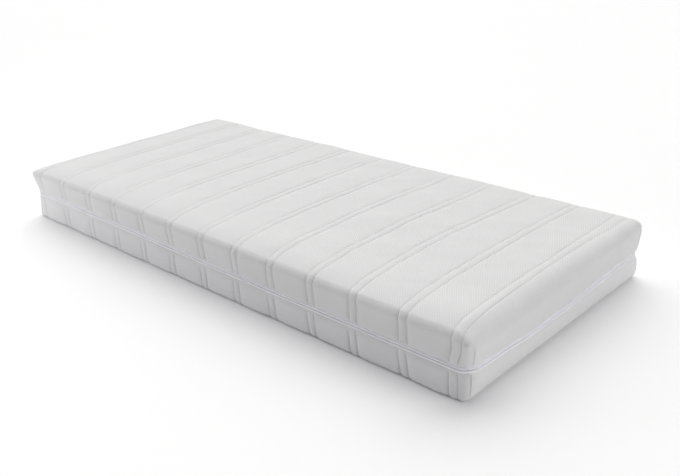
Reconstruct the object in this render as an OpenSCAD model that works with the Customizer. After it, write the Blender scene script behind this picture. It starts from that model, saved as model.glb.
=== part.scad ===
// Pressure relief mattress: a zoned foam core in a two-part quilted cover with a zip all round.
// +X runs from the head end to the foot end, +Y is the side with the zip slider, +Z is up.
// The origin is the centre of the underside.

/* [Overall] */
// Length of the closed mattress
length = 2000; // [1600:10:2400]
// Width of the closed mattress
width = 900; // [700:10:1800]
// Height of the closed mattress
height = 188; // [156:1:260]
// Radius of the four upright corners
corner_r = 42; // [30:1:90]
// Radius round the top edge
top_edge_r = 32; // [26:1:45]
// Radius round the bottom edge
bottom_edge_r = 18; // [15:1:30]

/* [Quilted cover] */
// Thickness of the knitted face cloth
face_t = 1.2; // [1:0.1:2]
// Thickness of the wadding under the face cloth
wadding_t = 6; // [4:0.1:9]
// Thickness of the lining cloth behind the wadding
backing_t = 1.2; // [0.6:0.1:2]
// Distance from one pair of stitch lines to the next
quilt_pitch = 160; // [100:1:250]
// Distance between the two lines of a pair
quilt_pair_w = 26; // [16:1:40]
// Plain length kept between the end of the mattress and its last pair
quilt_end_margin = 20; // [15:1:60]
// Width of a line of thread
thread_w = 1; // [0.6:0.1:1.5]
// Depth that the thread lies in the face cloth
thread_d = 0.7; // [0.4:0.1:0.8]

/* [Zip] */
// Height of the middle of the zip above the underside
zip_z = 82; // [70:1:95]
// Height of the gap between the hems, where the zip shows
zip_gap_h = 12; // [11:0.5:20]
// Height of one zip tape
tape_w = 22; // [12:1:30]
// Thickness of a zip tape
tape_t = 0.7; // [0.5:0.1:1]
// Gap between the edges of the two tapes
tape_gap = 1.6; // [1.4:0.1:2.4]
// Height of one half of the coil
coil_w = 2.4; // [1.8:0.1:3]
// Thickness of the coil
coil_t = 1.6; // [1.2:0.1:2]
// Place along X where the chain starts and ends, from the foot end
zip_end_from_foot = 65; // [60:1:150]
// Gap between the two ends of the chain
zip_end_gap = 6; // [4:1:10]
// Length of a zip stop
stop_l = 4; // [2:0.5:6]
// Length of the cloth tab over the ends of the chain
tab_l = 22; // [18:1:40]
// Thickness of the cloth tab
tab_t = 1.2; // [0.8:0.1:1.5]

/* [Zip slider] */
// Length of the slider
slider_l = 14; // [12:1:20]
// Width of the slider
slider_w = 9.2; // [9:0.1:10]
// Thickness of the slider's plates
plate_t = 1; // [0.8:0.1:1.5]
// Distance from the chain's end to the middle of the parked slider
slider_from_end = 35; // [33:1:80]
// Outer length of the bridge that holds the pull
bridge_l = 9.6; // [8:0.1:11]
// Width of the bridge
bridge_w = 2.4; // [1.6:0.1:3]
// Thickness of the bridge
bridge_t = 1; // [0.8:0.1:1.4]
// Diameter of the pull's crossbar, which is also the thickness of the pull
pull_t = 1.4; // [1:0.1:1.8]
// Length of the pull from its hinge to its tip
pull_l = 26; // [20:1:28]
// Width of the pull
pull_w = 7.4; // [6:0.1:8]

/* [Foam core] */
// Thickness of the base foam
base_h = 50; // [30:1:70]
// Thickness of the comfort layer
comfort_h = 55; // [30:1:70]
// Width of a side rail
rail_w = 70; // [40:1:120]
// Length of the head zone
head_zone_l = 300; // [200:10:350]
// Length of the torso zone
torso_zone_l = 480; // [300:10:520]
// Length of the seat zone
seat_zone_l = 420; // [300:10:450]
// Length of the leg zone
leg_zone_l = 450; // [300:10:450]
// Width of the slits that cut the foam into cells
slit_w = 5; // [3:0.5:8]
// Largest size of a cell on the comfort layer
cell_size = 100; // [60:5:150]
// Depth of the cells on the comfort layer
cell_depth = 30; // [15:1:29]
// Depth of the hinge cuts under the base foam
hinge_cut_d = 25; // [10:1:28]
// Width of the hinge cuts
hinge_cut_w = 8; // [4:1:12]

/* [Clearances] */
// Gap between the lining and the core, above and below
rest_gap = 0.3; // [0.3:0.1:2]
// Running gap between the slider and the tapes, coils and pull
slider_gap = 0.3; // [0.2:0.05:0.5]
// Gap between the slider and the side of the core
core_side_gap = 0.4; // [0.4:0.1:3]

/* [Hidden] */
$fn = 64;
past = 2; // how far a cutting shape runs past what it cuts

// Depths are measured inwards from the outside of the cover.
wadding_d = face_t;
backing_d = face_t + wadding_t;
cover_t = face_t + wadding_t + backing_t;
coil_d = cover_t + tape_t;
inner_plate_d = coil_d + coil_t + slider_gap;
core_side_d = inner_plate_d + plate_t + core_side_gap;
outer_plate_d = cover_t - slider_gap - plate_t;

upper_hem_z = zip_z + zip_gap_h / 2;
lower_hem_z = zip_z - zip_gap_h / 2;
upper_tape_z = zip_z + tape_gap / 2;
lower_tape_z = zip_z - tape_gap / 2;

pairs_each_side = floor((length / 2 - quilt_end_margin - quilt_pair_w / 2) / quilt_pitch);

core_z = cover_t + rest_gap;
core_top_z = height - cover_t - rest_gap;
zone_z = core_z + base_h;
comfort_z = core_top_z - comfort_h;
core_l = length - 2 * core_side_d;
core_w = width - 2 * core_side_d;

// Zones in order from the head: length, pitch of the slits, depth of the slits
heel_zone_l = core_l - head_zone_l - torso_zone_l - seat_zone_l - leg_zone_l;
zone_l = [head_zone_l, torso_zone_l, seat_zone_l, leg_zone_l, heel_zone_l];
zone_slit_pitch = [75, 60, 52.5, 56, 40];
zone_slit_depth = [25, 32, 38, 30, 42];
zone_floor_t = 12; // foam left under the deepest slit
heel_cells_across = 16;

chain_end_x = length / 2 - zip_end_from_foot;
slider_x = chain_end_x - slider_from_end;

white = [0.93, 0.93, 0.94];
thread_white = [0.85, 0.86, 0.88];
zip_lilac = [0.82, 0.81, 0.87];
metal = [0.72, 0.73, 0.76];

function sum_to(list, n) = n == 0 ? 0 : list[n - 1] + sum_to(list, n - 1);
function zone_start(i) = -core_l / 2 + sum_to(zone_l, i);

module rounded_rectangle(size_x, size_y, r) {
    square([size_x - 2 * r, size_y], center = true);
    square([size_x, size_y - 2 * r], center = true);
    for (sx = [-1, 1], sy = [-1, 1])
        translate([sx * (size_x / 2 - r), sy * (size_y / 2 - r)]) circle(r);
}

// The mattress's outline seen from one side, with its own radius at the top and at the bottom
module side_outline(across, side_d, flat_d) {
    top_r = max(1, top_edge_r - side_d);
    low_r = max(1, bottom_edge_r - side_d);
    half = across / 2 - side_d;
    low = flat_d;
    high = height - flat_d;
    translate([-half, low + low_r]) square([2 * half, high - low - top_r - low_r]);
    translate([-half + low_r, low]) square([2 * half - 2 * low_r, high - low - top_r]);
    translate([-half + top_r, low + low_r]) square([2 * half - 2 * top_r, high - low - low_r]);
    for (s = [-1, 1]) {
        translate([s * (half - top_r), high - top_r]) circle(top_r);
        translate([s * (half - low_r), low + low_r]) circle(low_r);
    }
}

// The mattress's whole form, moved in by side_d at its sides and by flat_d above and below
module form(side_d, flat_d) {
    intersection() {
        linear_extrude(height)
            rounded_rectangle(length - 2 * side_d, width - 2 * side_d, max(1, corner_r - side_d));
        translate([-length / 2, 0, 0]) rotate([90, 0, 90]) linear_extrude(length)
            side_outline(width, side_d, flat_d);
        translate([0, width / 2, 0]) rotate([90, 0, 0]) linear_extrude(width)
            side_outline(length, side_d, flat_d);
    }
}

// Everything from one height to another
module between(low, high) {
    translate([-length / 2 - past, -width / 2 - past, low])
        cube([length + 2 * past, width + 2 * past, high - low]);
}

// A layer of the cover, from one depth to another
module layer(from_d, to_d, low, high) {
    intersection() {
        difference() {
            form(from_d, from_d);
            form(to_d, to_d);
        }
        between(low, high);
    }
}

// A band round the sides only, from one depth to another
module band(from_d, to_d, low, high) {
    translate([0, 0, low]) linear_extrude(high - low) difference() {
        rounded_rectangle(length - 2 * from_d, width - 2 * from_d, corner_r - from_d);
        rounded_rectangle(length - 2 * to_d, width - 2 * to_d, corner_r - to_d);
    }
}

// Thin upright slabs, one where each stitch line runs
module stitch_slabs(low, high) {
    for (i = [-pairs_each_side : pairs_each_side], s = [-1, 1])
        translate([i * quilt_pitch + s * quilt_pair_w / 2 - thread_w / 2, -width / 2 - past, low])
            cube([thread_w, width + 2 * past, high - low]);
}

// Thin upright slabs through the four corners, where the corner seams run
module corner_slabs(low, high) {
    for (sx = [-1, 1], sy = [-1, 1])
        translate([sx * (length / 2 - corner_r), sy * (width / 2 - corner_r), low])
            rotate([0, 0, atan2(sy, sx)])
                translate([corner_r / 2, -thread_w / 2, 0])
                    cube([corner_r, thread_w, high - low]);
}

// What the thread takes out of the face cloth
module thread_grooves(low, high, seam_low, seam_high) {
    difference() {
        union() {
            stitch_slabs(low - past, high + past);
            corner_slabs(seam_low, seam_high);
        }
        form(thread_d, thread_d);
    }
}

module chain_gap(extra) {
    translate([chain_end_x - extra, 0, zip_z - tape_w * 2])
        cube([zip_end_gap + 2 * extra, width, tape_w * 4]);
}

// ---- Upper half of the cover ----

top_seam_high_z = height - top_edge_r;

module top_face_cloth() {
    color(white) difference() {
        intersection() {
            form(0, 0);
            between(upper_hem_z, height + past);
        }
        intersection() {
            form(wadding_d, wadding_d);
            between(upper_hem_z + face_t, height + past);
        }
        form(backing_d, backing_d);
        thread_grooves(upper_hem_z, height, upper_hem_z - past, top_seam_high_z);
    }
}

module top_wadding() {
    color("snow") layer(wadding_d, backing_d, upper_hem_z + face_t, height);
}

module top_backing() {
    color("whitesmoke") layer(backing_d, cover_t, upper_hem_z, height);
}

module top_quilting_thread() {
    color(thread_white) intersection() {
        stitch_slabs(upper_hem_z, height + past);
        layer(0, thread_d, upper_hem_z, height);
    }
}

module top_seam_thread() {
    color(thread_white) {
        intersection() {
            corner_slabs(upper_hem_z, top_seam_high_z);
            band(0, thread_d, upper_hem_z, top_seam_high_z);
        }
        zip_seam(upper_hem_z + (upper_tape_z + tape_w - upper_hem_z) / 2);
    }
}

// The line of thread that holds a tape to the lining
module zip_seam(z) {
    difference() {
        band(coil_d, coil_d + thread_d, z - thread_w / 2, z + thread_w / 2);
        chain_gap(stop_l);
    }
}

module upper_zip_tape() {
    color(zip_lilac) difference() {
        band(cover_t, coil_d, upper_tape_z, upper_tape_z + tape_w);
        chain_gap(0);
    }
}

module upper_zip_coil() {
    color("white") difference() {
        band(coil_d, coil_d + coil_t, upper_tape_z, upper_tape_z + coil_w);
        chain_gap(stop_l);
    }
}

// ---- Lower half of the cover ----

module bottom_face_cloth() {
    color(white) difference() {
        intersection() {
            form(0, 0);
            between(-past, lower_hem_z);
        }
        intersection() {
            form(wadding_d, wadding_d);
            between(-past, lower_hem_z - face_t);
        }
        form(backing_d, backing_d);
        thread_grooves(0, lower_hem_z, bottom_edge_r, lower_hem_z + past);
    }
}

module bottom_wadding() {
    color("snow") layer(wadding_d, backing_d, 0, lower_hem_z - face_t);
}

module bottom_backing() {
    color("whitesmoke") layer(backing_d, cover_t, 0, lower_hem_z);
}

module bottom_quilting_thread() {
    color(thread_white) intersection() {
        stitch_slabs(-past, lower_hem_z);
        layer(0, thread_d, 0, lower_hem_z);
    }
}

module bottom_seam_thread() {
    color(thread_white) {
        intersection() {
            corner_slabs(bottom_edge_r, lower_hem_z);
            band(0, thread_d, bottom_edge_r, lower_hem_z);
        }
        zip_seam(lower_hem_z - (lower_hem_z - lower_tape_z + tape_w) / 2);
    }
}

module lower_zip_tape() {
    color(zip_lilac) difference() {
        band(cover_t, coil_d, lower_tape_z - tape_w, lower_tape_z);
        chain_gap(0);
    }
}

module lower_zip_coil() {
    color("white") difference() {
        band(coil_d, coil_d + coil_t, lower_tape_z - coil_w, lower_tape_z);
        chain_gap(stop_l);
    }
}

// One stop at each end of the chain, on the lower tape
module zip_stops() {
    color(metal)
        for (x = [chain_end_x - stop_l, chain_end_x + zip_end_gap])
            translate([x, width / 2 - coil_d - coil_t, lower_tape_z - coil_w])
                cube([stop_l, coil_t, coil_w]);
}

// A folded tab over the chain's ends: its root is sewn to the lower tape, and its flap clears the upper one
module zip_end_tab() {
    root_high_z = lower_tape_z;
    flap_high_z = zip_z + zip_gap_h / 2 - 1.5;
    tab_x = chain_end_x + zip_end_gap / 2 - tab_l / 2;
    flap_d = cover_t - slider_gap;
    color(white) {
        translate([tab_x, width / 2 - cover_t, lower_hem_z])
            cube([tab_l, tab_t, root_high_z - lower_hem_z]);
        translate([tab_x, width / 2 - flap_d, lower_hem_z])
            cube([tab_l, tab_t, flap_high_z - lower_hem_z]);
    }
}

// ---- Zip slider, on the straight run of the +Y side ----

// Places its children at the parked slider, with +Y pointing out of the mattress
module at_slider(depth) {
    translate([slider_x, width / 2 - depth, zip_z]) children();
}

axis_d = outer_plate_d - slider_gap - pull_t / 2;
bridge_rise = pull_t + 2 * slider_gap + bridge_t;
bridge_leg_l = 1.6;

module slider_plate(depth) {
    at_slider(depth + plate_t) rotate([-90, 0, 0]) linear_extrude(plate_t)
        rounded_rectangle(slider_l, slider_w, 2);
}

module slider_body() {
    flange_in_z = tape_gap / 2 + coil_w + slider_gap;
    flange_t = slider_w / 2 - flange_in_z - 0.2;
    flange_d = coil_d + slider_gap;
    diamond_l = slider_l * 0.4;
    diamond_t = tape_gap - 2 * slider_gap;
    color(metal) {
        slider_plate(outer_plate_d);
        slider_plate(inner_plate_d);
        at_slider(inner_plate_d)
            translate([slider_l / 2 - diamond_l - 1, 0, -diamond_t / 2])
                cube([diamond_l, inner_plate_d - outer_plate_d - plate_t, diamond_t]);
        for (s = [-1, 1])
            at_slider(inner_plate_d)
                translate([-slider_l / 2 + 2, 0, s > 0 ? flange_in_z : -flange_in_z - flange_t])
                    cube([slider_l - 4, inner_plate_d - flange_d, flange_t]);
        for (s = [-1, 1])
            at_slider(outer_plate_d)
                translate([s * (bridge_l - bridge_leg_l) / 2 - bridge_leg_l / 2, 0, -bridge_w / 2])
                    cube([bridge_leg_l, bridge_rise, bridge_w]);
        at_slider(outer_plate_d)
            translate([-bridge_l / 2, bridge_rise - bridge_t, -bridge_w / 2])
                cube([bridge_l, bridge_t, bridge_w]);
    }
}

// The pull lies flat along the chain and points to the head end. It turns about its crossbar.
module slider_pull() {
    window_l = bridge_l / 2 + 1.6;
    arm_in_z = bridge_w / 2 + slider_gap + 0.2;
    color(metal) {
        at_slider(axis_d) translate([0, 0, -pull_w / 2]) cylinder(h = pull_w, d = pull_t);
        at_slider(axis_d + pull_t / 2) rotate([-90, 0, 0]) linear_extrude(pull_t) difference() {
            union() {
                translate([-pull_l + pull_w / 2, -pull_w / 2]) square([pull_l - pull_w / 2, pull_w]);
                translate([-pull_l + pull_w / 2, 0]) circle(d = pull_w);
            }
            translate([-window_l, -arm_in_z]) square([window_l + past, 2 * arm_in_z]);
        }
    }
}

// ---- Foam core ----

// A slice of the core, from one height to another
module core_slice(low, high) {
    intersection() {
        form(core_side_d, core_z);
        between(low, high);
    }
}

// Everything from one place to another along X, and from -half_y to half_y
module x_range(from_x, to_x, half_y) {
    translate([from_x, -half_y, 0]) cube([to_x - from_x, 2 * half_y, height]);
}

module base_foam() {
    // A profiling bed bends the mattress behind the shoulders, at the hips and at the knees.
    hinge_x = [zone_start(1), zone_start(2), zone_start(3), zone_start(4)];
    color("lightsteelblue") difference() {
        core_slice(core_z, zone_z);
        for (x = hinge_x)
            translate([x - hinge_cut_w / 2, -width / 2, core_z - past])
                cube([hinge_cut_w, width, hinge_cut_d + past]);
    }
}

module side_rail(s) {
    inner_y = core_w / 2 - rail_w;
    intersection() {
        core_slice(zone_z, comfort_z);
        translate([-length / 2, s > 0 ? inner_y : -width / 2, 0])
            cube([length, width / 2 - inner_y, height]);
    }
}

module left_side_rail() { color("skyblue") side_rail(1); }

module right_side_rail() { color("skyblue") side_rail(-1); }

// The slits start a whole pitch from the zone's middle, so that both ends of the zone match.
module zone_insert(i) {
    pitch = zone_slit_pitch[i];
    depth = min(zone_slit_depth[i], comfort_z - zone_z - zone_floor_t);
    middle = zone_start(i) + zone_l[i] / 2;
    count = floor((zone_l[i] / 2 - pitch / 4) / pitch);
    difference() {
        intersection() {
            core_slice(zone_z, comfort_z);
            x_range(zone_start(i), zone_start(i) + zone_l[i], core_w / 2 - rail_w);
        }
        for (k = [-count : count])
            translate([middle + k * pitch - slit_w / 2, -width / 2, comfort_z - depth])
                cube([slit_w, width, depth + past]);
    }
}

module head_zone_insert() { color("lightgreen") zone_insert(0); }

module torso_zone_insert() { color("khaki") zone_insert(1); }

module seat_zone_insert() { color("lightsalmon") zone_insert(2); }

module leg_zone_insert() { color("khaki") zone_insert(3); }

module heel_zone_insert() {
    zone_w = core_w - 2 * rail_w;
    depth = min(zone_slit_depth[4], comfort_z - zone_z - zone_floor_t);
    color("lightpink") difference() {
        zone_insert(4);
        for (k = [1 : heel_cells_across - 1])
            translate([zone_start(4) - past, -zone_w / 2 + k * zone_w / heel_cells_across - slit_w / 2,
                       comfort_z - depth])
                cube([heel_zone_l + 2 * past, slit_w, depth + past]);
    }
}

module comfort_layer() {
    cells_x = ceil(core_l / cell_size);
    cells_y = ceil(core_w / cell_size);
    color("lemonchiffon") difference() {
        core_slice(comfort_z, core_top_z);
        for (k = [1 : cells_x - 1])
            translate([-core_l / 2 + k * core_l / cells_x - slit_w / 2, -width / 2,
                       core_top_z - cell_depth])
                cube([slit_w, width, cell_depth + past]);
        for (k = [1 : cells_y - 1])
            translate([-length / 2, -core_w / 2 + k * core_w / cells_y - slit_w / 2,
                       core_top_z - cell_depth])
                cube([length, slit_w, cell_depth + past]);
    }
}

bottom_face_cloth();
bottom_wadding();
bottom_backing();
bottom_quilting_thread();
bottom_seam_thread();
lower_zip_tape();
lower_zip_coil();
zip_stops();
zip_end_tab();
base_foam();
left_side_rail();
right_side_rail();
head_zone_insert();
torso_zone_insert();
seat_zone_insert();
leg_zone_insert();
heel_zone_insert();
comfort_layer();
top_face_cloth();
top_wadding();
top_backing();
top_quilting_thread();
top_seam_thread();
upper_zip_tape();
upper_zip_coil();
slider_body();
slider_pull();
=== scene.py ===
import math
import bpy
import numpy as np
from mathutils import Matrix, Vector


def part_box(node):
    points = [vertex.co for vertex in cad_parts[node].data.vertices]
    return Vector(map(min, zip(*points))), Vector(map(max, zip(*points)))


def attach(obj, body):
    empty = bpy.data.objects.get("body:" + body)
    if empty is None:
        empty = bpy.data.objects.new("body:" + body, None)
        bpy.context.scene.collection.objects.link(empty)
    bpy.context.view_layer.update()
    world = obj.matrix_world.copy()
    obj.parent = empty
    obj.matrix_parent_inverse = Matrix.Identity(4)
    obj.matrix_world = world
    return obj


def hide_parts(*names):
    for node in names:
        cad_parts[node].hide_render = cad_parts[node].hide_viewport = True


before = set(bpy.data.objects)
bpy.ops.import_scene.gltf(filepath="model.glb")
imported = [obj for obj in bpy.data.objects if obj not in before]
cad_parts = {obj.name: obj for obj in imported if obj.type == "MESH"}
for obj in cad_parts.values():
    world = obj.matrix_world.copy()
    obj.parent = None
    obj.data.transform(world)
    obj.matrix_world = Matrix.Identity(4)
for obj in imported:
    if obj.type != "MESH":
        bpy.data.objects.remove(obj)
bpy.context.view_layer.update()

# Pressure relief foam mattress in a two part quilted cover, parted by a zip all round.
# Metres. X runs from the head (-) to the foot (+), Y across, Z up from the floor.


# ---- sizes read from the frame
def low(node):
    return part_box(node)[0]


def high(node):
    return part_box(node)[1]


HALF_X, HALF_Y, TOP = high("top_face_cloth")
CORE_X, CORE_Y, CORE_TOP = high("comfort_layer")
CORE_LOW = low("base_foam").z
UPPER_HEM = low("top_face_cloth").z
LOWER_HEM = high("bottom_face_cloth").z
ZIP_Z = (UPPER_HEM + LOWER_HEM) / 2
CORE_ROOM = 0.004  # between the core's sides and the cover's inner face
COVER_T = HALF_Y - (CORE_Y + CORE_ROOM)  # all three layers of the cover

# ---- the quilting and the cover's shape
PAIR_PITCH = 0.160  # between pairs of stitch lines
PAIR_HALF = 0.013  # from a pair's middle to each line
PAIRS = [PAIR_PITCH * k for k in range(-5, 6)]
END_PAIR = (0.9425, 0.9715)  # the two lines of the pair next to each end, a little wider apart
STITCH_LINES = sorted([p + s * PAIR_HALF for p in PAIRS for s in (-1, 1)]
                      + [s * v for v in END_PAIR for s in (-1, 1)])
# Edge roundings, on the negative and the positive side: width on the face, height on the wall
EDGE = {
    "top_side": ((0.019, 0.019), (0.019, 0.019)),
    "top_end": ((0.040, 0.028), (0.062, 0.054)),
    "low_side": ((0.014, 0.010), (0.018, 0.014)),
    "low_end": ((0.020, 0.016), (0.028, 0.020)),
}
FAR_FOOT = 0.55  # at the far side, the foot end's top rounding has this share of its size
FALL = (0.013, 0.0025)  # the top sinks this much towards its near and its far long edge
FALL_W = 0.095  # over this width
PLAN_R_ZIP = (0.042, 0.050, 0.034)  # plan radius at the zip: near head, near foot and both far corners
PLAN_R_TOP = (0.014, 0.024)  # and at the top edge, at the head and the foot, where the corner stands out
PLAN_R_LOW = (0.036, 0.024)  # and at the ground, at the head and the foot
TOP_FLAT = 0.018  # the plan radius no longer changes this near the top
LOW_FLAT = 0.006  # and this near the ground
SMALLEST_EDGE = 0.003  # an edge rounding inside the cover gets no smaller than this
SMALLEST_CORNER = 0.005  # nor does a plan radius
FOOT_TUCK = 0.0065  # the foot end's lower edge is drawn in under it
TUCK_LONG = 0.10  # over this length
TUCK_HIGH = 0.070  # and this height
SAG = 0.012  # the zip hangs down along the foot end
SAG_AT = -0.10  # most at this place across the foot end
SAG_HALF = (0.31, 0.50)  # and no more this far from it, on its near and far side
RIPPLE = 0.0009  # with a small ripple


def squircle(u, v):
    """Maps a square onto a quarter disc without a corner."""
    return u * np.sqrt(1 - v * v / 2), v * np.sqrt(1 - u * u / 2)


def smooth(value):
    """Eases a value between 0 and 1, and holds it there outside."""
    value = np.clip(value, 0, 1)
    return value * value * (3 - 2 * value)


def into(value, start, size):
    """How far value is into a zone that starts at start: 0 to 1."""
    return np.clip((value - start) / size, 0, 1)


def edge_size(x, y, axis, name, depth):
    """Width and height of an edge rounding next to each point."""
    share = 1.0
    if name == "top_end":
        share = np.where(x > 0, 1 + (FAR_FOOT - 1) * smooth((y + HALF_Y) / (2 * HALF_Y)), 1.0)
    neg, pos = EDGE[name]
    at = x if axis == 0 else y
    return [np.maximum(np.where(at < 0, neg[c], pos[c]) * share - depth, SMALLEST_EDGE) for c in (0, 1)]


def round_edge(p, axis, half, face, name, depth):
    """Rounds, in place, the edge between the walls across axis and the flat face at height face."""
    width, height = edge_size(p[:, 0], p[:, 1], axis, name, depth)
    up = 1.0 if face > ZIP_Z else -1.0
    u = into(np.abs(p[:, axis]), half - width, width)
    v = into(up * p[:, 2], up * face - height, height)
    mu, mv = squircle(u, v)
    p[:, axis] = np.where(u > 0, np.sign(p[:, axis]) * (half - width + width * mu), p[:, axis])
    p[:, 2] = np.where(v > 0, face - up * height * (1 - mv), p[:, 2])


def zip_radius(x, y):
    """The plan radius of the zip line at the corner next to a point."""
    near = np.where(x < 0, PLAN_R_ZIP[0], PLAN_R_ZIP[1])
    return np.where(y < 0, near, PLAN_R_ZIP[2])


def plan_radius(x, y, z, depth):
    """The plan radius of the corner next to a point, depth inside the outer form."""
    at_zip = zip_radius(x, y)
    at_top = np.where(x < 0, PLAN_R_TOP[0], PLAN_R_TOP[1])
    at_low = np.where(x < 0, PLAN_R_LOW[0], PLAN_R_LOW[1])
    above = smooth((z - ZIP_Z) / (TOP - TOP_FLAT - ZIP_Z))
    below = smooth((ZIP_Z - z) / (ZIP_Z - LOW_FLAT))
    r = at_zip + (at_top - at_zip) * above + (at_low - at_zip) * below
    return np.maximum(r - depth, SMALLEST_CORNER)


RISE_X = [-1.0, -0.44, 0.0, 0.43, 1.0]
RISE = [0.0130, 0.0095, 0.0045, 0.0005, 0.0]  # the zip lies higher towards the head on the near side


def zip_sag(x, y):
    """How far the zip line hangs down. The far side, where the slider runs, is straight."""
    foot = smooth((x - (HALF_X - 0.06)) / 0.05)
    width = np.where(y > SAG_AT, SAG_HALF[1], SAG_HALF[0])
    belly = np.cos(np.clip((y - SAG_AT) / width, -1, 1) * math.pi / 2) ** 2
    ripple = RIPPLE * np.sin(y * 31.0 + 0.6) * smooth((0.40 - np.abs(y)) / 0.1)
    near = smooth((0.36 - y) / 0.78)
    return foot * (SAG * belly + ripple) - np.interp(x, RISE_X, RISE) * near


def shape(x, y, z, depth, x_panel=None, zip_line=True):
    """Turns points of a sharp box, depth inside the outer one, into the mattress's rounded form.

    x_panel is the x used where a point is on the flat top, so that lines stay straight over an edge.
    """
    p = np.stack([x, y, z], axis=1).astype(float)
    hx, hy = HALF_X - depth, HALF_Y - depth
    top, bottom = TOP - depth, depth
    round_edge(p, 1, hy, top, "top_side", depth)
    round_edge(p, 1, hy, bottom, "low_side", depth)
    fall = np.where(p[:, 1] < 0, *FALL) * into(np.abs(p[:, 1]), HALF_Y - FALL_W, FALL_W) ** 2
    p[:, 2] -= fall * into(p[:, 2], ZIP_Z, top - ZIP_Z)
    if x_panel is not None:
        height = edge_size(p[:, 0], p[:, 1], 0, "top_end", depth)[1]
        c = into(p[:, 2], top - height, height)
        p[:, 0] += (x_panel - x) * (1 / np.sqrt(1 - c * c / 2) - 1) / (math.sqrt(2) - 1)
    round_edge(p, 0, hx, top, "top_end", depth)
    round_edge(p, 0, hx, bottom, "low_end", depth)
    r = plan_radius(p[:, 0], p[:, 1], p[:, 2], depth)
    u = into(np.abs(p[:, 0]), hx - r, r)
    v = into(np.abs(p[:, 1]), hy - r, r)
    mu, mv = squircle(u, v)
    p[:, 0] = np.where(u > 0, np.sign(p[:, 0]) * (hx - r + r * mu), p[:, 0])
    p[:, 1] = np.where(v > 0, np.sign(p[:, 1]) * (hy - r + r * mv), p[:, 1])
    tuck = into(p[:, 0], HALF_X - TUCK_LONG, TUCK_LONG) ** 2 * (1 - smooth(p[:, 2] / TUCK_HIGH))
    p[:, 0] -= FOOT_TUCK * tuck
    if not zip_line:
        return p
    reach = np.where(p[:, 2] > ZIP_Z, (TOP - p[:, 2]) / (TOP - ZIP_Z), p[:, 2] / ZIP_Z)
    p[:, 2] -= zip_sag(p[:, 0], p[:, 1]) * smooth(reach)
    return p


def waves(p, seed, count, shortest, longest):
    """A smooth random field of about -1 to 1, the same each run."""
    rng = np.random.default_rng(seed)
    total = np.zeros(len(p))
    for _ in range(count):
        direction = rng.normal(size=3)
        direction /= np.linalg.norm(direction)
        length = rng.uniform(shortest, longest)
        total += np.sin(p @ direction * (2 * math.pi / length) + rng.uniform(0, 2 * math.pi))
    return total * math.sqrt(2 / count) / 1.4


# ---- mesh helpers
def added(name, data):
    """A new object in the scene, from its mesh, light or camera data."""
    obj = bpy.data.objects.new(name, data)
    bpy.context.scene.collection.objects.link(obj)
    return obj


def add_mesh(name, points, faces, material, uv=None, sharp=50):
    """A new object. Edges sharper than this angle in degrees stay sharp."""
    faces = np.asarray(faces, dtype=np.int32)
    mesh = bpy.data.meshes.new(name)
    mesh.vertices.add(len(points))
    mesh.vertices.foreach_set("co", np.asarray(points, dtype=np.float32).ravel())
    mesh.loops.add(faces.size)
    mesh.loops.foreach_set("vertex_index", faces.ravel())
    mesh.polygons.add(len(faces))
    mesh.polygons.foreach_set("loop_start", np.arange(0, faces.size, faces.shape[1], dtype=np.int32))
    mesh.polygons.foreach_set("use_smooth", np.ones(len(faces), dtype=bool))
    if uv is not None:
        layer = mesh.uv_layers.new(name="net")
        layer.data.foreach_set("uv", np.asarray(uv, dtype=np.float32).ravel())
    mesh.update(calc_edges=True)
    mesh.validate()
    mesh.set_sharp_from_angle(angle=math.radians(sharp))
    mesh.materials.append(material)
    return added(name, mesh)


def unit(v):
    return v / np.maximum(np.linalg.norm(v, axis=-1, keepdims=True), 1e-12)


def run_of(points):
    """The length from the first point to each point of a line."""
    return np.concatenate([[0], np.cumsum(np.linalg.norm(np.diff(points, axis=0), axis=1))])


def read_at(pos, run, values):
    """The values of a line's points, read at other places along it."""
    return np.stack([np.interp(pos, run, column) for column in values.T], axis=1)


def tube(centres, side, out, radius):
    """Points and faces of a four-sided rod along centres, each with its own two cross directions."""
    n = len(centres)
    a = np.arange(4) * 2 * math.pi / 4
    radius = np.reshape(radius, (-1, 1, 1))
    ring = (centres[:, None, :]
            + side[:, None, :] * (np.cos(a)[None, :, None] * radius)
            + out[:, None, :] * (np.sin(a)[None, :, None] * radius))
    i = np.arange(n - 1)[:, None] * 4
    k = np.arange(4)[None, :]
    k2 = (k + 1) % 4
    faces = np.stack([i + k, i + 4 + k, i + 4 + k2, i + k2], axis=-1).reshape(-1, 4)
    last = (n - 1) * 4
    faces = np.concatenate([faces, [[0, 1, 2, 3]], [[last + 3, last + 2, last + 1, last]]])
    return ring.reshape(-1, 3), faces[:, ::-1]


def swept(along, across):
    """Faces and net coordinates of a flat closed section swept along and capped at both ends.

    along is the net's coordinate of each section, and across that of each point of a section.
    """
    n, m = len(along), len(across)
    i = np.arange(n - 1)[:, None]
    k = np.arange(m)[None, :]
    k2 = (k + 1) % m
    corners = ((i, k), (i, k2), (i + 1, k2), (i + 1, k))
    faces = np.stack([a * m + b for a, b in corners], axis=-1).reshape(-1, 4)
    net = [np.stack(np.broadcast_arrays(along[a], across[b]), axis=-1) for a, b in corners]
    q = np.arange(m // 2 - 1)
    cap = np.stack([q, q + 1, m - 2 - q, m - 1 - q], axis=-1)
    faces = np.concatenate([faces, cap[:, ::-1], cap + (n - 1) * m])
    ends = np.stack(np.broadcast_arrays(along[[0, -1], None], across[q]), axis=-1).reshape(-1, 1, 2)
    return faces, np.concatenate([np.stack(net, axis=-2).reshape(-1, 4, 2), ends.repeat(4, axis=1)])


def stands_for(obj, body, node):
    """The piece rides on a body in place of a CAD node, which it hides."""
    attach(obj, body)
    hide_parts(node)


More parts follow.
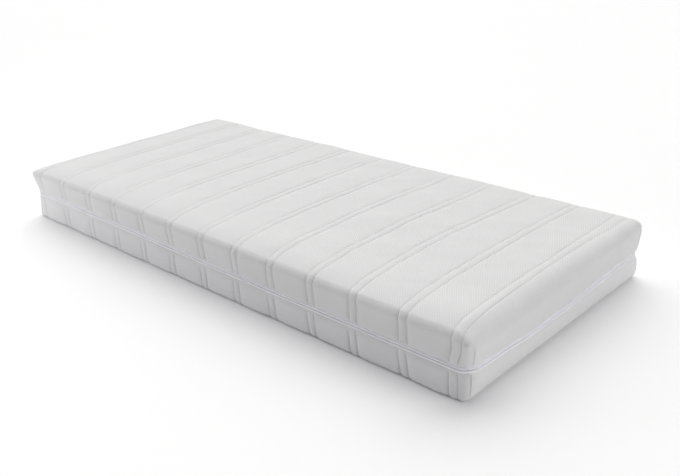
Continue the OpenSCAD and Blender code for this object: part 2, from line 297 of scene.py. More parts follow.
def joined(parts):
    """One set of points and faces from several."""
    points, faces, start = [], [], 0
    for p, f in parts:
        points.append(p)
        faces.append(f + start)
        start += len(p)
    return np.concatenate(points), np.concatenate(faces)


# ---- materials
TINT_FROM, TINT_TO = 0.25, 0.75  # the part of a pattern's range over which colour and roughness change


class Mat:
    """A node material, built by short calls."""

    def __init__(self, name, base, roughness, bump, sheen=0.0, metallic=0.0, specular=0.5):
        self.mat = bpy.data.materials.new(name)
        self.mat.use_nodes = True
        self.tree = self.mat.node_tree
        self.shader = self.tree.nodes["Principled BSDF"]
        settings = {"Base Color": (*base, 1), "Roughness": roughness, "Metallic": metallic,
                    "Specular IOR Level": specular, "Sheen Weight": sheen, "Sheen Roughness": 0.6}
        for socket, value in settings.items():
            self.shader.inputs[socket].default_value = value
        self.base = base
        self.roughness = roughness
        self.bump = bump

    def node(self, kind, _link=None, **settings):
        n = self.tree.nodes.new(kind)
        for key, value in settings.items():
            setattr(n, key, value)
        for socket, source in (_link or {}).items():
            if isinstance(source, (int, float, tuple)):
                n.inputs[socket].default_value = source
            else:
                self.tree.links.new(source, n.inputs[socket])
        return n

    def uv(self):
        return self.node("ShaderNodeUVMap", uv_map="net").outputs["UV"]

    def place(self):
        return self.node("ShaderNodeTexCoord").outputs["Object"]

    def math(self, op, *values):
        return self.node("ShaderNodeMath", dict(enumerate(values)), operation=op).outputs[0]

    def turned(self, vector, angle, scale=(1, 1, 1)):
        link = {"Vector": vector, "Rotation": (0, 0, angle), "Scale": scale}
        return self.node("ShaderNodeMapping", link).outputs[0]

    def noise(self, vector, scale, detail):
        link = {"Vector": vector, "Scale": scale, "Detail": detail}
        return self.node("ShaderNodeTexNoise", link).outputs["Fac"]

    def cells(self, vector, scale, feature="F1"):
        link = {"Vector": vector, "Scale": scale}
        return self.node("ShaderNodeTexVoronoi", link, feature=feature).outputs["Distance"]

    def ribs(self, vector, period):
        """Soft ridges across X, 0 to 1, one per period."""
        x = self.node("ShaderNodeSeparateXYZ", {"Vector": vector}).outputs["X"]
        s = self.math("SINE", self.math("MULTIPLY", x, 2 * math.pi / period))
        return self.math("MULTIPLY_ADD", s, 0.5, 0.5)

    def mixed(self, parts):
        """The weighted sum of some values."""
        total = None
        for value, weight in parts:
            part = self.math("MULTIPLY", value, weight)
            total = part if total is None else self.math("ADD", total, part)
        return total

    def finish(self, height, tint, spread, rough=None, rough_spread=0.0):
        """Bump from height. Colour varies with tint, and roughness with rough if given, both 0 to 1."""
        bump = self.node("ShaderNodeBump", {"Height": height, "Distance": self.bump, "Strength": 1.0})
        self.tree.links.new(bump.outputs[0], self.shader.inputs["Normal"])
        ramp = self.node("ShaderNodeValToRGB", {"Fac": tint})
        ends = ((TINT_FROM, 1 - spread), (TINT_TO, 1 + spread))
        for element, (at, share) in zip(ramp.color_ramp.elements, ends):
            element.position = at
            element.color = (*(min(c * share, 1) for c in self.base), 1)
        self.tree.links.new(ramp.outputs[0], self.shader.inputs["Base Color"])
        if rough is not None:
            r = self.node("ShaderNodeMapRange", {
                "Value": rough, "From Min": TINT_FROM, "From Max": TINT_TO,
                "To Min": self.roughness - rough_spread, "To Max": min(self.roughness + rough_spread, 1.0)})
            self.tree.links.new(r.outputs[0], self.shader.inputs["Roughness"])
        return self.mat


RIB_ANGLE = math.radians(-28.5)  # turns the net so that its X is across the diagonal ribs
RIB_PERIOD = 0.0064
DASH_PERIOD = 0.0117  # the ribs are broken at this spacing
DASH_ANGLE = RIB_ANGLE + math.pi / 2 + 0.35
KNIT = (0.0011, 0.0014)  # spacing of the fine knit's wales and rows


def knitted(name, base):
    """The cover's knitted jacquard: soft diagonal ribs, broken into short dashes, over a fine knit."""
    m = Mat(name, base, 0.88, 0.00034, sheen=0.12, specular=0.25)
    net = m.uv()
    across = m.turned(net, RIB_ANGLE)
    rib = m.ribs(across, RIB_PERIOD)
    dash = m.ribs(m.turned(net, DASH_ANGLE), DASH_PERIOD)
    fine = m.math("MULTIPLY", m.ribs(net, KNIT[0]), m.ribs(m.turned(net, math.pi / 2), KNIT[1]))
    worn = m.noise(net, 9.0, 2.0)
    fuzz = m.noise(net, 900.0, 2.0)
    broken = m.math("MULTIPLY", rib, m.math("MULTIPLY_ADD", dash, 0.45, 0.55))
    height = m.mixed([(broken, 0.80), (fine, 0.16), (fuzz, 0.10)])
    # the ribs and the knit darken the colour in their valleys: painted shade; the worn and fuzz noise give
    # random tone
    tint = m.mixed([(broken, 0.30), (fine, 0.10), (worn, 0.45), (fuzz, 0.15)])
    return m.finish(height, tint, 0.035, worn, 0.05)


def woven(name, base, period, angle=0.0, sheen=0.1, rough=0.8):
    """A plain weave in net coordinates, its threads a period apart."""
    m = Mat(name, base, rough, 0.00012, sheen=sheen, specular=0.3)
    net = m.turned(m.uv(), angle)
    warp = m.ribs(net, period)
    weft = m.ribs(m.turned(net, math.pi / 2), period * 0.8)
    cloth = m.math("MULTIPLY", warp, weft)
    fuzz = m.noise(net, 700.0, 2.0)
    slow = m.noise(net, 14.0, 2.0)
    height = m.mixed([(warp, 0.35), (cloth, 0.45), (fuzz, 0.2)])
    return m.finish(height, m.mixed([(cloth, 0.3), (slow, 0.7)]), 0.04, slow, 0.06)


def fluffy(name, base):
    """Polyester wadding: matted fibres."""
    m = Mat(name, base, 0.95, 0.0006, sheen=0.3, specular=0.1)
    p = m.place()
    moved = m.node("ShaderNodeVectorMath", {0: p, 1: (0.01, 0.01, 0.01)}, operation="ADD").outputs[0]
    fibre = m.noise(m.turned(moved, 0.6, (1, 4, 2)), 160.0, 6.0)
    clump = m.noise(p, 22.0, 3.0)
    return m.finish(m.mixed([(fibre, 0.7), (clump, 0.3)]), clump, 0.05, fibre, 0.04)


def foam(name, base, pore=0.0016):
    """Open-cell polyurethane foam: fine pores with a few larger ones, slightly uneven in colour."""
    m = Mat(name, base, 0.92, 0.0004, sheen=0.05, specular=0.2)
    p = m.place()
    small = m.cells(p, 1 / pore, "DISTANCE_TO_EDGE")
    large = m.cells(p, 0.30 / pore)
    slow = m.noise(p, 6.0, 3.0)
    grain = m.noise(p, 420.0, 3.0)
    height = m.mixed([(small, 0.55), (large, 0.25), (grain, 0.2)])
    tint = m.mixed([(slow, 0.6), (grain, 0.25), (small, 0.3)])
    return m.finish(height, tint, 0.06, slow, 0.05)


def twisted(name, base):
    """Sewing thread: shiny polyester with a twist."""
    m = Mat(name, base, 0.45, 0.00006, sheen=0.1, specular=0.45)
    p = m.place()
    twist = m.ribs(m.turned(p, 0.7), 0.0006)
    slow = m.noise(p, 60.0, 2.0)
    return m.finish(m.mixed([(twist, 0.8), (slow, 0.2)]), slow, 0.04, slow, 0.08)


def moulded(name, base, rough, metallic=0.0):
    """Plastic or plated metal with faint tool marks and worn, uneven gloss."""
    m = Mat(name, base, rough, 0.00002, metallic=metallic)
    p = m.place()
    scratch = m.noise(m.turned(p, 0.4, (60, 6, 20)), 60.0, 4.0)
    blotch = m.noise(p, 180.0, 3.0)
    height = m.mixed([(scratch, 0.7), (blotch, 0.3)])
    gloss = m.mixed([(scratch, 0.5), (blotch, 0.5)])
    return m.finish(height, blotch, 0.05, gloss, 0.1)


CLOTH = knitted("cover_cloth", (0.735, 0.735, 0.734))
CLOTH_LOW_PAINTED_LIGHT = knitted("cover_cloth_low_painted_light", (0.795, 0.795, 0.795))  # the same face cloth painted lighter for the lower half: painted light standing in for the light its wall catches
LINING = woven("lining", (0.80, 0.79, 0.77), 0.0012)
WADDING = fluffy("wadding", (0.88, 0.88, 0.88))
THREAD = twisted("thread", (0.76, 0.76, 0.76))
TAPE = woven("zip_tape", (0.93, 0.93, 0.965), 0.0011, angle=math.pi / 2, sheen=0.2, rough=0.6)
COIL = moulded("zip_coil", (0.74, 0.74, 0.79), 0.35)
METAL = moulded("zip_metal", (0.62, 0.61, 0.60), 0.32, metallic=1.0)
BASE_FOAM = foam("base_foam", (0.52, 0.56, 0.60))
RAIL_FOAM = foam("rail_foam", (0.45, 0.50, 0.58))
ZONE_FOAM = foam("zone_foam", (0.80, 0.77, 0.68))
SOFT_FOAM = foam("soft_zone_foam", (0.62, 0.72, 0.80))
VISCO = foam("visco_foam", (0.86, 0.84, 0.74), 0.0009)


# ---- the quilted cover halves
GROOVE_LINES = (-0.005, -0.002, 0.0, 0.002, 0.005)  # grid lines at a stitch line


def filled(marks, step, fine=()):
    """Lines at every mark, with the gaps filled evenly. Near the marks in fine there are closer lines."""
    keep = set(round(m, 6) for m in marks)
    for m in fine:
        keep.update(round(m + d, 6) for d in GROOVE_LINES)
    keep = sorted(keep)
    lines = []
    for a, b in zip(keep, keep[1:]):
        count = max(1, math.ceil((b - a) / step - 1e-6))
        lines += [a + (b - a) * i / count for i in range(count)]
    return np.array(lines + [keep[-1]])


def panel_x(x, y):
    """Where a line has to start on the flat top so that the end's rounding brings it to x."""
    width = edge_size(x, y, 0, "top_end", 0.0)[0]
    start = HALF_X - width
    last = STITCH_LINES[-1]
    a = np.abs(x)
    last = np.maximum(last, start)
    far = start + (last - start) * math.sqrt(2)
    out = np.where(a <= start, a, np.where(a <= last, start + (a - start) * math.sqrt(2),
                                           far + (a - last) * (HALF_X - far) / (HALF_X - last)))
    return np.sign(x) * out


# First what has one value for the lower and one for the upper half
SEAM_OFF = (0.0100, 0.0160)  # a corner seam runs this far round on the end wall
PINCH_WIDE = (0.0042, 0.0062)  # the zip pulls the walls in widely, over the height WIDE_H,
PINCH_NEAR = (0.0040, 0.0022)  # and more at the hem,
NEAR_W = (0.016, 0.013)  # over this height
# And what both halves share
WIDE_H = 0.090
LIP = (0.0005, 0.0015)  # the hem's edge turns in this much, over this height
HEM_BACK = 0.0020  # the hems roll back this much from their seams
HEM_FADE = 0.012  # grooves and puffs fade out over this height at the hem
SPREAD = 0.0030  # the lower wall stands out this much towards the ground
DEEPEST = 0.0104  # no point of the cover's face sinks more than this
THIN = 0.0016  # the cover is never pressed thinner than this
ON_GROUND = 0.0004  # points nearer to the ground than this lie on it
KINK = 0.0085  # the zip draws the end pair's lines in
# Depth and half width of a stitch line's groove and of the wider dip round it
GROOVE = (0.0014, 0.0018)
DIP = (0.0004, 0.0060)
SIDE_DEEPER = (0.0010, 0.0006)  # groove and dip are this much deeper on the long walls
SIDE_BAND = 0.010  # and get deeper over this much of the face next to them
CROWN = (0.0013, 0.0010)  # the wide and the narrow channels between the lines puff up
SEAM_DIP = (0.0017, 0.0052)  # depth and half width of the dip at a corner seam
SEAM_RIDGE = (0.0026, 0.0019)  # height and half width of the ridge in it
# Unevenness: its size, the number of its waves, and the shortest and longest of them
WOBBLE = (0.0011, 14, 0.12, 0.5)  # of the stitch lines
SLOW = (0.0011, 30, 0.16, 0.6)
PUCKER = (0.00025, 24, 0.024, 0.06)  # next to the stitch lines
CREASE = (0.00030, 30, 0.045, 0.13)
GATHER = (0.00055, 30, 0.016, 0.045)  # at the hems
BESIDE = 0.014  # puckers and gathers die away over this length
# The stitch lines bow: how far each is pushed towards the foot on the near wall, the middle and the far wall
BOW_X = [-1.0, -0.957, -0.80, -0.64, -0.48, -0.32, -0.16, 0.0,
         0.16, 0.32, 0.48, 0.64, 0.80, 0.9425, 0.9715, 1.0]
BOW_NEAR = [0, 0.012, 0.020, 0.031, 0.026, 0.025, 0.020, 0.017,
            0.011, 0.001, 0, -0.008, -0.004, 0, 0, 0]
BOW_MID = [0, -0.010, -0.018, -0.031, -0.028, -0.024, -0.031, -0.027,
           -0.030, -0.034, -0.031, -0.038, -0.028, -0.022, -0.036, 0]
BOW_FAR = [0, -0.006, -0.030, -0.042, -0.040, -0.025, -0.023, -0.025,
           -0.020, -0.015, -0.012, -0.012, -0.020, -0.028, -0.020, 0]
LEAN = (-0.006, 0.010)  # and at the top and the bottom of the near lower wall
# How deep the stitch lines sit: on the walls, and on the top at the near edge, the middle and the far edge
DEEP_X = [-1.0, -0.2, 0.1, 0.35, 0.6, 1.0]
DEEP_WALL = [0.55, 0.60, 0.80, 0.95, 1.05, 1.35]
DEEP_NEAR = [0.40, 0.50, 0.65, 0.85, 0.90, 1.0]
DEEP_MID = [0.75, 0.95, 1.0, 1.0, 0.95, 0.95]
DEEP_FAR = [0.95, 0.85, 0.60, 0.60, 0.65, 0.90]
# The grid: lines close to an edge, and the most between lines elsewhere
CLOSE = (0.0016, 0.0036, 0.0064)
SEAM_LINES = (-0.0036, -0.0016, 0.0016, 0.0036)
HEM_STEPS = (0, 0.0008, 0.002, 0.004, 0.007, 0.011, 0.016, 0.022)
HEM_ZONE = 0.028
SIDE_ZONE = 0.06
STEP_X, STEP_Y, STEP_SIDE, STEP_WALL = 0.0112, 0.0125, 0.0061, 0.0052


class Half:
    """One half of the cover: its outer surface on a grid of index lines, and the layers under it."""

    def __init__(self, upper, seed):
        self.upper = upper
        self.seed = seed
        face = TOP if upper else 0.0
        hem = UPPER_HEM + HEM_BACK if upper else LOWER_HEM - HEM_BACK
        wall = abs(face - hem)
        ends = [s * (HALF_X - d) for s in (-1, 1) for d in (0, *CLOSE)]
        self.xs = filled(ends, STEP_X, STITCH_LINES)
        zone = HALF_Y - SIDE_ZONE
        middle = filled([-zone, zone], STEP_Y)
        seam = HALF_Y - SEAM_OFF[self.upper]
        marks = [zone, seam, HALF_Y, HALF_Y - CLOSE[0]] + [seam + d for d in SEAM_LINES]
        side = filled(marks, STEP_SIDE)
        self.ys = np.unique(np.round(np.concatenate([-side, middle, side]), 6))
        self.ts = np.concatenate([HEM_STEPS, filled([HEM_ZONE, wall], STEP_WALL)])
        nx, ny, nz = len(self.xs) - 1, len(self.ys) - 1, len(self.ts) - 1
        i, j, k = np.meshgrid(np.arange(nx + 1), np.arange(ny + 1), np.arange(nz + 1), indexing="ij")
        on = (k == nz) | (i == 0) | (i == nx) | (j == 0) | (j == ny)
        self.index = np.full(on.shape, -1, dtype=np.int64)
        self.index[on] = np.arange(on.sum())
        self.i, self.j, self.k = i[on], j[on], k[on]
        self.n = (nx, ny, nz)
        self.x, self.y = self.xs[self.i], self.ys[self.j]
        self.t = self.ts[self.k]  # how far from the hem: up in the upper half, down in the lower
        self.z = hem + (1 if upper else -1) * self.t
        self.wall = wall
        self.quads()
        self.outer = self.placed(0.0)
        self.inner = self.placed(COVER_T)
        self.normal = self.normals(self.outer)
        sunk = np.minimum(self.sunk(), DEEPEST)
        self.outer = self.outer - self.normal * sunk[:, None]
        self.inner = self.inner - self.normal * np.maximum(sunk + THIN - COVER_T, 0)[:, None]
        if not upper:
            self.outer[:, 2] = np.where(self.outer[:, 2] < ON_GROUND, 0.0, self.outer[:, 2])
        self.normal = self.normals(self.outer)

    def quads(self):
        """Faces of the panel, the long walls and the end walls."""
        nx, ny, nz = self.n
        ix = self.index

        def patch(g, flip):
            f = np.stack([g[:-1, :-1], g[1:, :-1], g[1:, 1:], g[:-1, 1:]], axis=-1).reshape(-1, 4)
            return f[:, ::-1] if flip != (not self.upper) else f

        self.patches = [("panel", patch(ix[:, :, nz], False))]
        self.patches += [("side", patch(ix[:, j], flip)) for j, flip in ((0, False), (ny, True))]
        self.patches += [("end", patch(ix[i], flip)) for i, flip in ((0, True), (nx, False))]
        self.faces = np.concatenate([f for _, f in self.patches])

    def shifted(self):
        """The x of each line with its slant and its small sewing wobble."""
        x = self.x.copy()
        inside = smooth((HALF_X - np.abs(x)) / 0.06)
        at = np.stack([x * 0.7, self.y * 2.2, self.t * 3], 1)
        x += WOBBLE[0] * waves(at, self.seed + 5, *WOBBLE[1:]) * inside
        drawn = smooth((0.046 - self.t) / 0.034) if self.upper else 1 - 0.4 * self.t / self.wall
        corner = smooth((self.x - 0.88) / 0.05) * smooth((HALF_X - np.abs(x)) / 0.02)
        x -= KINK * drawn * corner * (1 - smooth((HALF_Y - np.abs(self.y)) / 0.06))
        near, mid, far = (np.interp(self.x, BOW_X, table) for table in (BOW_NEAR, BOW_MID, BOW_FAR))
        if self.upper:
            rise = 1 - (1 - np.clip((self.y + HALF_Y) / HALF_Y, 0, 1)) ** 2.6
            x += near + (mid - near) * rise + (far - mid) * smooth(self.y / HALF_Y)
        else:
            down = np.clip(self.t / self.wall, 0, 1)
            lean = (LEAN[0] + (LEAN[1] - LEAN[0]) * down) * smooth((HALF_X - np.abs(self.x)) / 0.15)
            across = smooth((self.y + HALF_Y) / (2 * HALF_Y))
            x += (near + lean) * (1 - across) + far * across
        return x

    def depth_share(self):
        """How deep the stitch lines sit at each point."""
        tables = (DEEP_WALL, DEEP_NEAR, DEEP_MID, DEEP_FAR)
        wall, near, mid, far = (np.interp(self.x, DEEP_X, table) for table in tables)
        top = np.where(self.y < 0, near + (mid - near) * smooth((self.y + 0.40) / 0.40),
                       mid + (far - mid) * smooth(self.y / 0.38))
        if not self.upper:
            top = wall
        side = smooth((np.abs(self.y) - HALF_Y + 0.012) / 0.012) * smooth((self.wall - self.t) / 0.03)
        return top + (wall - top) * side

    def placed(self, depth):
        """The grid on the rounded form, depth under the outer surface."""

        def pulled(value, half, zone):
            """Draws values in by depth at the ends of their range, and less and less over a zone."""
            a = np.abs(value)
            drawn = half - zone + (a - half + zone) * (1 - depth / zone)
            return np.sign(value) * np.where(a > half - zone, drawn, a)

        shifted = self.shifted()
        x = pulled(shifted, HALF_X, 0.1)
        y = pulled(self.y, HALF_Y, 0.07)
        sign = 1 if self.upper else -1
        z = self.z - sign * depth * self.t / self.wall
        across = None
        if self.upper:
            across = pulled(panel_x(self.x, self.y) + (shifted - self.x), HALF_X, 0.1)
        return shape(x, y, z, depth, across)

    def normals(self, p):
        """The direction out of the surface at each point."""
        f = self.faces
        n = np.cross(p[f[:, 2]] - p[f[:, 0]], p[f[:, 3]] - p[f[:, 1]])
        total = np.zeros_like(p)
        for c in range(4):
            np.add.at(total, f[:, c], n)
        return unit(total)

    def sunk(self):
        """How far the face cloth lies under the plain rounded form: grooves, puff, creases and pinch."""
        marks = np.array(STITCH_LINES)
        gap = self.x[:, None] - marks[None, :]
        near = np.abs(gap).min(axis=1)
        right = np.searchsorted(marks, self.x).clip(1, len(marks) - 1)
        a, b = marks[right - 1], marks[right]
        share = np.clip((self.x - a) / (b - a), 0, 1) * 2 - 1
        wide = (b - a) > 0.05
        beyond = np.abs(self.x) > marks[-1]
        crown = np.where(wide, CROWN[0] * (1 - share ** 4), CROWN[1] * (1 - share ** 2))
        crown = np.where(beyond, 0.0, crown)
        hem = smooth(self.t / HEM_FADE)
        on_side = smooth((np.abs(self.y) - HALF_Y + SIDE_BAND) / SIDE_BAND)
        groove = (GROOVE[0] + SIDE_DEEPER[0] * on_side) * np.exp(-(near / GROOVE[1]) ** 2)
        groove += (DIP[0] + SIDE_DEEPER[1] * on_side) * np.exp(-(near / DIP[1]) ** 2)
        groove *= self.depth_share()
        p = np.stack([self.x, self.y, self.z], axis=1)
        slow = SLOW[0] * waves(p, self.seed, *SLOW[1:])
        pucker = PUCKER[0] * waves(p * [0.35, 1, 1], self.seed + 1, *PUCKER[1:]) * np.exp(-near / BESIDE)
        crease = CREASE[0] * waves(p, self.seed + 2, *CREASE[1:])
        on_wall = self.k < self.n[2]
        near_hem = np.exp(-self.t / BESIDE)
        gather = GATHER[0] * near_hem * waves(p * [1, 1, 0.25], self.seed + 3, *GATHER[1:]) * on_wall
        pinch = PINCH_WIDE[self.upper] * np.clip(1 - self.t / WIDE_H, 0, 1) ** 1.25
        if not self.upper:
            from_end = 0.4 + 0.6 * smooth((HALF_X - np.abs(self.x)) / 0.14)
            spread = np.where(self.y < 0, SPREAD, 0.4 * SPREAD) * from_end
            pinch -= spread * smooth(self.t / (0.9 * self.wall)) * smooth((self.wall - self.t) / 0.008)
        pinch += PINCH_NEAR[self.upper] * np.clip(1 - self.t / NEAR_W[self.upper], 0, 1) ** 2
        lip = LIP[0] * np.clip(1 - self.t / LIP[1], 0, 1)
        on_end = (self.i == 0) | (self.i == self.n[0])
        off = SEAM_OFF[self.upper]
        corner = np.where(on_end, np.abs(HALF_Y - np.abs(self.y) - off), HALF_X - np.abs(self.x) + off)
        seam = SEAM_DIP[0] * np.exp(-(corner / SEAM_DIP[1]) ** 2)
        seam -= SEAM_RIDGE[0] * np.exp(-(corner / SEAM_RIDGE[1]) ** 2)
        seam *= on_wall * smooth((self.wall - self.t) / 0.03)
        total = groove * hem - crown * hem + slow * hem + pucker * hem + crease * hem + gather
        return total + (pinch + lip + seam)

    def layer(self, share):
        """A surface inside the cover: 0 is the outer face and 1 the inner face of the lining."""
        return self.outer + (self.inner - self.outer) * share

    def net(self):
        """Net coordinates of every face corner, in metres of real cloth."""
        nx, ny, nz = self.n
        rows = self.outer[self.index[:, :, nz]]
        sx = np.zeros((nx + 1, ny + 1))
        sx[1:] = np.cumsum(np.linalg.norm(np.diff(rows, axis=0), axis=2), axis=0)
        sx -= sx[nx // 2]
        sy = np.zeros((nx + 1, ny + 1))
        sy[:, 1:] = np.cumsum(np.linalg.norm(np.diff(rows, axis=1), axis=2), axis=1)
        sy -= sy[:, ny // 2][:, None]
        out = []
        for kind, f in self.patches:
            i, j, k = self.i[f], self.j[f], self.k[f]
            if kind == "panel":
                out.append(np.stack([sx[i, j], sy[i, j]], axis=-1))
                continue
            edge = (j if kind == "side" else i).max()
            drop = (self.ts[nz] - self.ts[k]) * (-1 if edge == 0 else 1)
            if kind == "side":
                out.append(np.stack([sx[i, edge], sy[i, edge] + drop], axis=-1))
            else:
                out.append(np.stack([sx[edge, j] + drop, sy[edge, j]], axis=-1))
        return np.concatenate(out).reshape(-1, 2) * (1, 1 if self.upper else -1)

    def rim(self):
        """The hem's points in order round the cover."""
        hem = self.index[:, :, 0]
        return np.concatenate([hem[:-1, 0], hem[-1, :-1], hem[:0:-1, -1], hem[0, :0:-1]])

    def shell(self, name, outside, inside, material):
        """A closed sheet between two of the surfaces that layer() gives."""
        a, b = self.layer(outside), self.layer(inside)
        count = len(a)
        rim = self.rim()
        nxt = np.roll(rim, -1)
        band = np.stack([nxt, rim, rim + count, nxt + count], axis=1)
        if not self.upper:
            band = band[:, ::-1]
        faces = np.concatenate([self.faces, self.faces[:, ::-1] + count, band])
        uv = self.net().reshape(-1, 4, 2)
        flat = np.zeros((len(band), 4, 2))
        uv = np.concatenate([uv, uv[:, ::-1], flat]).reshape(-1, 2)
        return add_mesh(name, np.concatenate([a, b]), faces, material, uv)

    def line(self, i):
        """Points and normals along one stitch line, from one hem over the panel to the other."""
        ix = self.index[i]
        order = np.concatenate([ix[0, :-1], ix[:, -1], ix[-1, -2::-1]])
        return self.outer[order], self.normal[order]

    def corner(self, i, side):
        """Points and normals along the corner seam at the end i, on the long side of that sign."""
        j = int(np.abs(self.ys - side * (HALF_Y - SEAM_OFF[self.upper])).argmin())
        order = self.index[i, j, :self.n[2] - 3]
        return self.outer[order], self.normal[order]


SEW_END = 0.004  # rows of stitches stop this far from the ends of their lines


def sewn(points, normals, stitch, thick, sink=0.0):
    """A row of stitches: the thread rises between the needle holes and dips into them."""
    s = run_of(points)
    sewn_length = s[-1] - SEW_END - SEW_END
    count = max(2, int(sewn_length / stitch))
    phases = np.array([0.0, 0.22, 0.78])
    at = (np.arange(count)[:, None] + phases[None, :]).ravel()
    at = np.append(at, count) / count
    pos = SEW_END + at * sewn_length
    centre = read_at(pos, s, points)
    out = unit(read_at(pos, s, normals))
    phase = np.append(np.tile(phases, count), 0.0)
    dip = phase == 0.0
    centre = centre + out * np.where(dip, -0.45 * thick, 0.30 * thick)[:, None] - out * sink
    along = unit(np.gradient(centre, axis=0))
    side = unit(np.cross(along, out))
    radius = np.where(dip, 0.34 * thick, 0.5 * thick)
    return tube(centre, side, unit(np.cross(side, along)), radius)


def cover_layers(half, part, body):
    """Face cloth, wadding and lining of one half, each in place of its CAD node."""
    # the lower half gets the face cloth painted lighter: painted light on its walls
    cloth = half.shell(part + "_cover_cloth", 0.0, 0.10, CLOTH if half.upper else CLOTH_LOW_PAINTED_LIGHT)
    pad = half.shell(part + "_cover_wadding", 0.12, 0.84, WADDING)
    back = half.shell(part + "_cover_lining", 0.86, 0.99, LINING)
    for obj, node, slot in ((cloth, "_face_cloth", "cover_cloth"), (pad, "_wadding", "wadding"),
                            (back, "_backing", "lining")):
        stands_for(obj, body, part + node)


QUILT_STITCH, QUILT_THREAD, QUILT_SINK = 0.0045, 0.0007, 0.0001
SEAM_STITCH, SEAM_THREAD = 0.004, 0.0008


def cover_threads(half, part, body):
    """The stitches of one half: along its stitch lines, and down its corner seams."""
    lines = [half.line(int(np.abs(half.xs - mark).argmin())) for mark in STITCH_LINES]
    rows = [sewn(p, n, QUILT_STITCH, QUILT_THREAD, QUILT_SINK) for p, n in lines]
    quilting = add_mesh(part + "_quilting", *joined(rows), THREAD)
    corners = [half.corner(i, side) for i in (0, half.n[0]) for side in (-1, 1)]
    seams = [sewn(p, n, SEAM_STITCH, SEAM_THREAD) for p, n in corners]
    seam = add_mesh(part + "_corner_seams", *joined(seams), THREAD)
    for obj, node in ((quilting, "_quilting_thread"), (seam, "_seam_thread")):
        stands_for(obj, body, part + node)


UPPER = Half(True, 11)
LOWER = Half(False, 23)
cover_layers(UPPER, "top", "cover_top")
cover_layers(LOWER, "bottom", "cover_base")
cover_threads(UPPER, "top", "cover_top")
cover_threads(LOWER, "bottom", "cover_base")


# ---- the zip
def zip_path(start_x, end_x, step):
    """Plan points and outward normals of the zip: from the far side's x start_x by the head to its end_x."""
    points, centres = [], []

    def straight(a, b):
        count = max(2, int(math.dist(a, b) / step))
        for q in range(count):
            point = (a[0] + (b[0] - a[0]) * q / count, a[1] + (b[1] - a[1]) * q / count)
            points.append(point)
            inward = (0, -math.copysign(1, a[1])) if a[1] == b[1] else (-math.copysign(1, a[0]), 0)
            centres.append((point[0] + inward[0], point[1] + inward[1]))

    here = (start_x, HALF_Y)
    for turn, (sx, sy) in enumerate(((-1, 1), (-1, -1), (1, -1), (1, 1)), start=1):
        r = float(zip_radius(sx, sy))
        cx, cy = sx * (HALF_X - r), sy * (HALF_Y - r)
        ends = [(cx, sy * HALF_Y), (sx * HALF_X, cy)]
        arrive, leave = ends if turn % 2 else ends[::-1]
        straight(here, arrive)
        count = max(6, int(math.pi / 2 * r / step))
        for q in range(count):
            a = turn % 4 * (math.pi / 2) + math.pi / 2 * q / count
            points.append((cx + r * math.cos(a), cy + r * math.sin(a)))
            centres.append((cx, cy))
        here = leave
    straight(here, (end_x, HALF_Y))
    points.append((end_x, HALF_Y))
    centres.append((end_x, 0.0))
    p = np.array(points)
    return p, unit(p - np.array(centres))


def along_zip(path, depth, rise):
    """Points of the zip at a depth and a height over its middle line."""
    p, n = path
    xy = p - n * np.reshape(depth, (-1, 1))
    z = ZIP_Z + rise - zip_sag(p[:, 0], p[:, 1])
    return np.column_stack([xy, z])


# A tape's section from its free edge at the chain to its sewn edge: height from the zip's middle, and depth
TAPE_SECTION = [(0.0009, 0.0088), (0.0010, 0.0072), (0.0018, 0.0056), (0.0032, 0.0047), (0.0050, 0.0046),
                (0.0065, 0.0058), (0.0076, 0.0078), (0.0086, 0.0086), (0.0220, 0.0086)]
TAPE_T = 0.00055
EDGE_H = 0.0022  # points lower than this belong to the tape's free edge
SHUT = 0.0004  # which comes closer to the middle where the tape lies flat
OPEN = 0.0003  # and further from it at the foot end, where the chain shows more
FLAT_FROM, FLAT_OVER = 0.405, 0.04  # past this Y, and over this width, the tape turns flat


def zip_tape(name, sign, body, node, path):
    """A woven tape, bulging out beside the chain, but flat on the far side, where the slider runs."""
    flat = TAPE_SECTION[-1][1]
    curled = 1 - smooth((path[0][:, 1] - FLAT_FROM) / FLAT_OVER)
    foot = smooth((path[0][:, 0] - (HALF_X - 0.03)) / 0.02)
    outer, inner = [], []
    for rise, deep in TAPE_SECTION:
        depth = flat + (deep - flat) * curled
        if rise < EDGE_H:
            rise = rise - SHUT * (1 - curled) + OPEN * foot * curled
        outer.append(along_zip(path, depth, sign * rise))
        inner.append(along_zip(path, depth + TAPE_T, sign * rise))
    ring = np.stack(outer + inner[::-1], axis=1)
    s = run_of(ring[:, 0])
    up = np.array([rise for rise, _ in TAPE_SECTION + TAPE_SECTION[::-1]])
    faces, uv = swept(s, up)
    if sign < 0:
        faces, uv = faces[:, ::-1], uv[:, ::-1]
    obj = add_mesh(name, ring.reshape(-1, 3), faces[:, ::-1], TAPE, uv[:, ::-1].reshape(-1, 2))
    stands_for(obj, body, node)


TAPE_PATH = zip_path(0.93800, 0.93815, 0.008)  # its two ends nearly meet, behind the end tab
zip_tape("upper_tape", 1, "cover_top", "upper_zip_tape", TAPE_PATH)
zip_tape("lower_tape", -1, "cover_base", "lower_zip_tape", TAPE_PATH)

COIL_PITCH = 0.0030
COIL_STEPS = 8
COIL_WIRE = 0.00028  # the wire's radius
COIL_DEPTH = 0.00990  # from the wall's face to the coil's middle
COIL_HALF = 0.0008  # half of what the coil takes up in depth
COIL_PATH = zip_path(0.926, 0.9350, 0.004)


